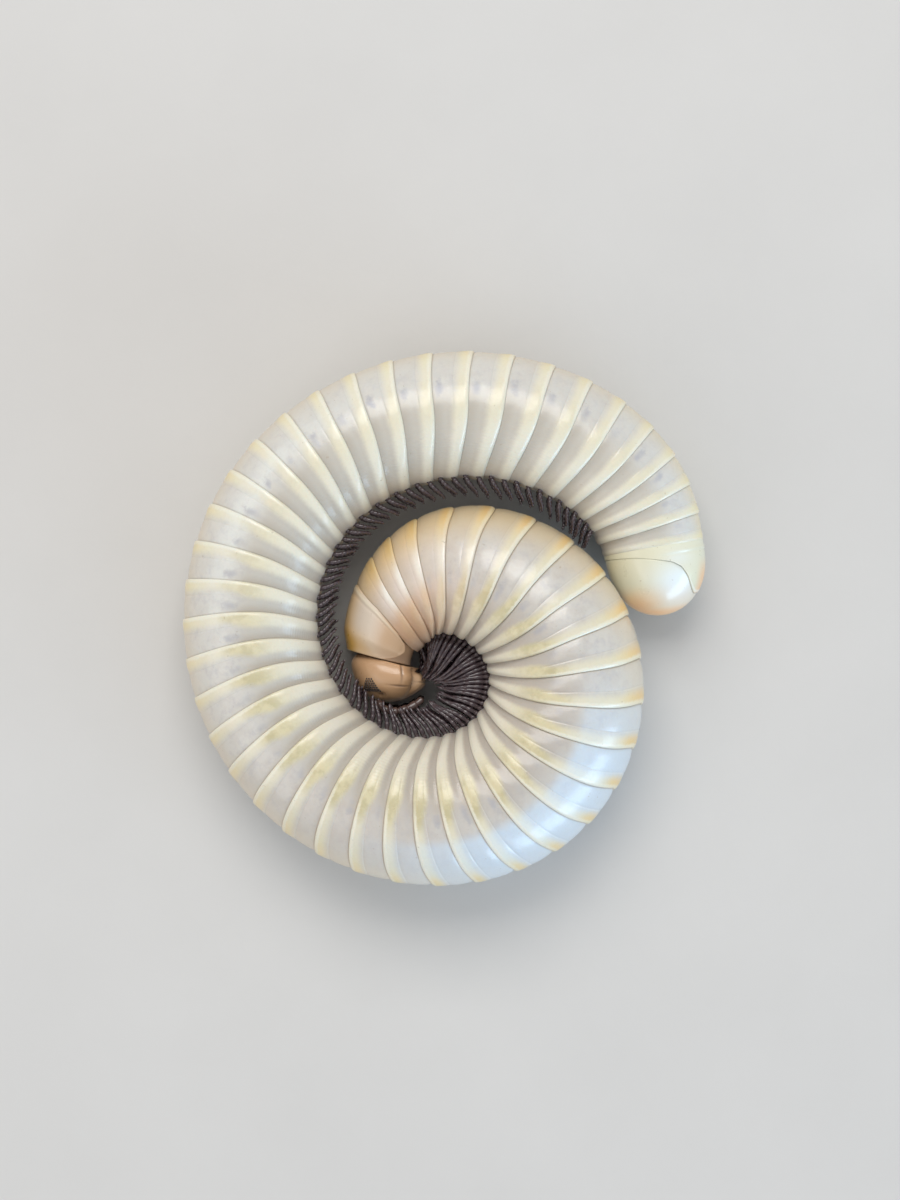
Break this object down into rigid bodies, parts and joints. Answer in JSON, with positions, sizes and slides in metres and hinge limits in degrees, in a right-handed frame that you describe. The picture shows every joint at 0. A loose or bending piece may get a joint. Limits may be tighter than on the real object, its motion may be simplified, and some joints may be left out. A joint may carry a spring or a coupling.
{
  "type": "yellow banded oak millipede",
  "caption": "Still, life-size banded millipede curled flat in a spiral on its side, head inside and tail outside, with short legs along the inner edge.",
  "frame": {"origin": "on the floor under the middle of the curled animal's bounding box", "axes": "+Z up, away from the floor and out of the animal's left flank; +X to the right and +Y up in the picture, which looks straight down"},
  "size_m": [0.0357, 0.0364, 0.0108],
  "materials": {
    "ring_shell": "glossy horny shell, pale grey with cream-yellow bands",
    "head_shell": "glossy orange-tan shell",
    "collar_shell": "glossy orange-tan shell",
    "tail_shell": "glossy pale shell with an orange rim",
    "feeler_shell": "dark brown, slightly glossy",
    "eye_lens": "black, very glossy"
  },
  "bodies": {
    "root": {"head": "head_shell", "eye_left": "eye_lens", "eye_right": "eye_lens", "antenna_left": "feeler_shell", "antenna_right": "feeler_shell", "collum": "collar_shell", "trunk_rings_02_07": "ring_shell", "trunk_rings_08_13": "ring_shell", "trunk_rings_14_19": "ring_shell", "trunk_rings_20_25": "ring_shell", "trunk_rings_26_31": "ring_shell", "trunk_rings_32_37": "ring_shell", "trunk_rings_38_43": "ring_shell", "trunk_rings_44_49": "ring_shell", "telson": "tail_shell", "anal_valve_left": "tail_shell", "anal_valve_right": "tail_shell"}
  },
  "joints": []
}
